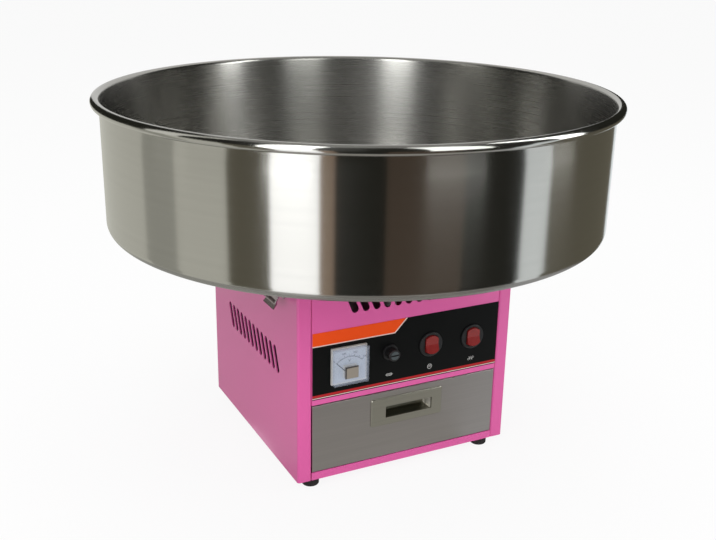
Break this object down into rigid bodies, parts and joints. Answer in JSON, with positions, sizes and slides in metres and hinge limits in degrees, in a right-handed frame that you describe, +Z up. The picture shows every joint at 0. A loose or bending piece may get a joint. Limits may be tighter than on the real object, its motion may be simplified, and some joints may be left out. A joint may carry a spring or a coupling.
{
  "type": "candy floss machine",
  "caption": "Electric table-top candy floss machine: wide open steel bowl latched on a square painted cabinet with meter, fuse, rocker switches and a drawer.",
  "frame": {"origin": "middle of the footprint, on the plane that the feet stand on", "axes": "+Z up along the head's spin axis; the control panel and drawer face -Y; the left side, seen from the front, faces -X"},
  "size_m": [0.5199, 0.52, 0.366],
  "materials": {
    "pink_paint": "glossy powder coat",
    "bowl_steel": "spun and polished stainless",
    "sheet_steel": "matt brushed stainless",
    "zinc_steel": "zinc plated",
    "latch_steel": "bright plated steel",
    "cast_aluminium": "machined casting",
    "black_film": "gloss printed film",
    "black_plastic": "moulded",
    "red_plastic": "translucent moulded",
    "white_scale": "printed plate",
    "meter_body": "moulded",
    "clear_cover": "clear moulded",
    "foot_rubber": "moulded rubber",
    "seal_rubber": "silicone rubber",
    "slip_brass": "turned brass",
    "insulator": "phenolic",
    "carbon": "pressed carbon",
    "iron_core": "laminated iron and varnished winding",
    "heater_sheath": "heat tinted sheath",
    "lead_cover": "insulated lead",
    "terminal_white": "moulded"
  },
  "bodies": {
    "cabinet": {"left_side": "pink_paint", "right_side": "pink_paint", "front_panel": "pink_paint", "panel_overlay": "black_film", "rear_panel": "pink_paint", "base_pan": "pink_paint", "top_deck": "sheet_steel", "bowl_seal": "seal_rubber", "feet": "foot_rubber", "case_screws": "zinc_steel", "cable_gland": "black_plastic", "terminal_block": "terminal_white", "internal_leads": "lead_cover", "voltmeter_case": "meter_body", "voltmeter_dial": "white_scale", "voltmeter_lens": "clear_cover", "fuse_holder": "black_plastic", "switch_housings": "black_plastic", "drawer_runners": "zinc_steel", "latch_bases": "latch_steel", "motor_case": "cast_aluminium", "motor_bearings": "zinc_steel", "motor_stator": "iron_core", "motor_plate": "zinc_steel", "rubber_bushes": "foot_rubber", "motor_standoffs": "zinc_steel", "run_capacitor": "black_plastic", "brush_holders": "insulator", "carbon_brushes": "carbon"},
    "spinner": {"motor_rotor": "iron_core", "drive_shaft": "zinc_steel", "cooling_fan": "black_plastic", "slip_ring_hub": "insulator", "slip_rings": "slip_brass", "head_pan": "cast_aluminium", "head_band": "sheet_steel", "heating_element": "heater_sheath", "head_lid": "cast_aluminium", "head_screws": "zinc_steel", "shaft_nut": "zinc_steel"},
    "bowl": {"bowl_wall": "bowl_steel", "bowl_floor": "bowl_steel", "bowl_catches": "bowl_steel"},
    "drawer": {"drawer_front": "sheet_steel", "drawer_tray": "sheet_steel", "drawer_pull": "zinc_steel"},
    "spinner_rocker": {"spinner_rocker": "red_plastic"},
    "heater_rocker": {"heater_rocker": "red_plastic"},
    "fuse_carrier": {"fuse_carrier": "black_plastic", "fuse_link": "clear_cover"},
    "fuse_cap": {"fuse_cap": "black_plastic"},
    "meter_needle": {"voltmeter_needle": "black_plastic"},
    "left_front_lever": {"left_front_lever": "latch_steel"},
    "left_front_bail": {"left_front_bail": "latch_steel"},
    "left_rear_lever": {"left_rear_lever": "latch_steel"},
    "left_rear_bail": {"left_rear_bail": "latch_steel"},
    "right_front_lever": {"right_front_lever": "latch_steel"},
    "right_front_bail": {"right_front_bail": "latch_steel"},
    "right_rear_lever": {"right_rear_lever": "latch_steel"},
    "right_rear_bail": {"right_rear_bail": "latch_steel"}
  },
  "joints": [
    {"name": "head_spin", "type": "hinge", "parent": "cabinet", "child": "spinner", "pos_m": [0, 0, 0.2], "axis": [0, 0, 1], "continuous": true},
    {"name": "bowl_lift", "type": "slide", "parent": "cabinet", "child": "bowl", "axis": [0, 0, 1], "range_m": [0, 0.13]},
    {"name": "drawer_slide", "type": "slide", "parent": "cabinet", "child": "drawer", "axis": [0, -1, 0], "range_m": [0, 0.17]},
    {"name": "spinner_switch", "type": "hinge", "parent": "cabinet", "child": "spinner_rocker", "pos_m": [0.0245, -0.1183, 0.1331], "axis": [1, 0, 0], "range_deg": [0, 16]},
    {"name": "heater_switch", "type": "hinge", "parent": "cabinet", "child": "heater_rocker", "pos_m": [0.0724, -0.1183, 0.1331], "axis": [1, 0, 0], "range_deg": [0, 16]},
    {"name": "fuse_pull", "type": "slide", "parent": "cabinet", "child": "fuse_carrier", "axis": [0, -1, 0], "range_m": [0, 0.04]},
    {"name": "fuse_turn", "type": "hinge", "parent": "fuse_carrier", "child": "fuse_cap", "pos_m": [-0.021, -0.122, 0.1331], "axis": [0, -1, 0], "range_deg": [0, 60]},
    {"name": "meter_swing", "type": "hinge", "parent": "cabinet", "child": "meter_needle", "pos_m": [-0.0654, -0.1225, 0.119], "axis": [0, 1, 0], "range_deg": [0, 90], "stiffness_Nm_per_rad": 0.00002, "springref_deg": -22.92},
    {"name": "left_front_latch", "type": "hinge", "parent": "cabinet", "child": "left_front_lever", "pos_m": [-0.122, -0.077, 0.2125], "axis": [0, 1, 0], "range_deg": [0, 95]},
    {"name": "left_front_hook", "type": "hinge", "parent": "left_front_lever", "child": "left_front_bail", "pos_m": [-0.1217, -0.077, 0.2055], "axis": [0, -1, 0], "range_deg": [-152.9, 0]},
    {"name": "left_rear_latch", "type": "hinge", "parent": "cabinet", "child": "left_rear_lever", "pos_m": [-0.122, 0.077, 0.2125], "axis": [0, 1, 0], "range_deg": [0, 95]},
    {"name": "left_rear_hook", "type": "hinge", "parent": "left_rear_lever", "child": "left_rear_bail", "pos_m": [-0.1217, 0.077, 0.2055], "axis": [0, -1, 0], "range_deg": [-152.9, 0]},
    {"name": "right_front_latch", "type": "hinge", "parent": "cabinet", "child": "right_front_lever", "pos_m": [0.122, -0.077, 0.2125], "axis": [0, -1, 0], "range_deg": [0, 95]},
    {"name": "right_front_hook", "type": "hinge", "parent": "right_front_lever", "child": "right_front_bail", "pos_m": [0.1217, -0.077, 0.2055], "axis": [0, 1, 0], "range_deg": [-152.9, 0]},
    {"name": "right_rear_latch", "type": "hinge", "parent": "cabinet", "child": "right_rear_lever", "pos_m": [0.122, 0.077, 0.2125], "axis": [0, -1, 0], "range_deg": [0, 95]},
    {"name": "right_rear_hook", "type": "hinge", "parent": "right_rear_lever", "child": "right_rear_bail", "pos_m": [0.1217, 0.077, 0.2055], "axis": [0, 1, 0], "range_deg": [-152.9, 0]}
  ]
}
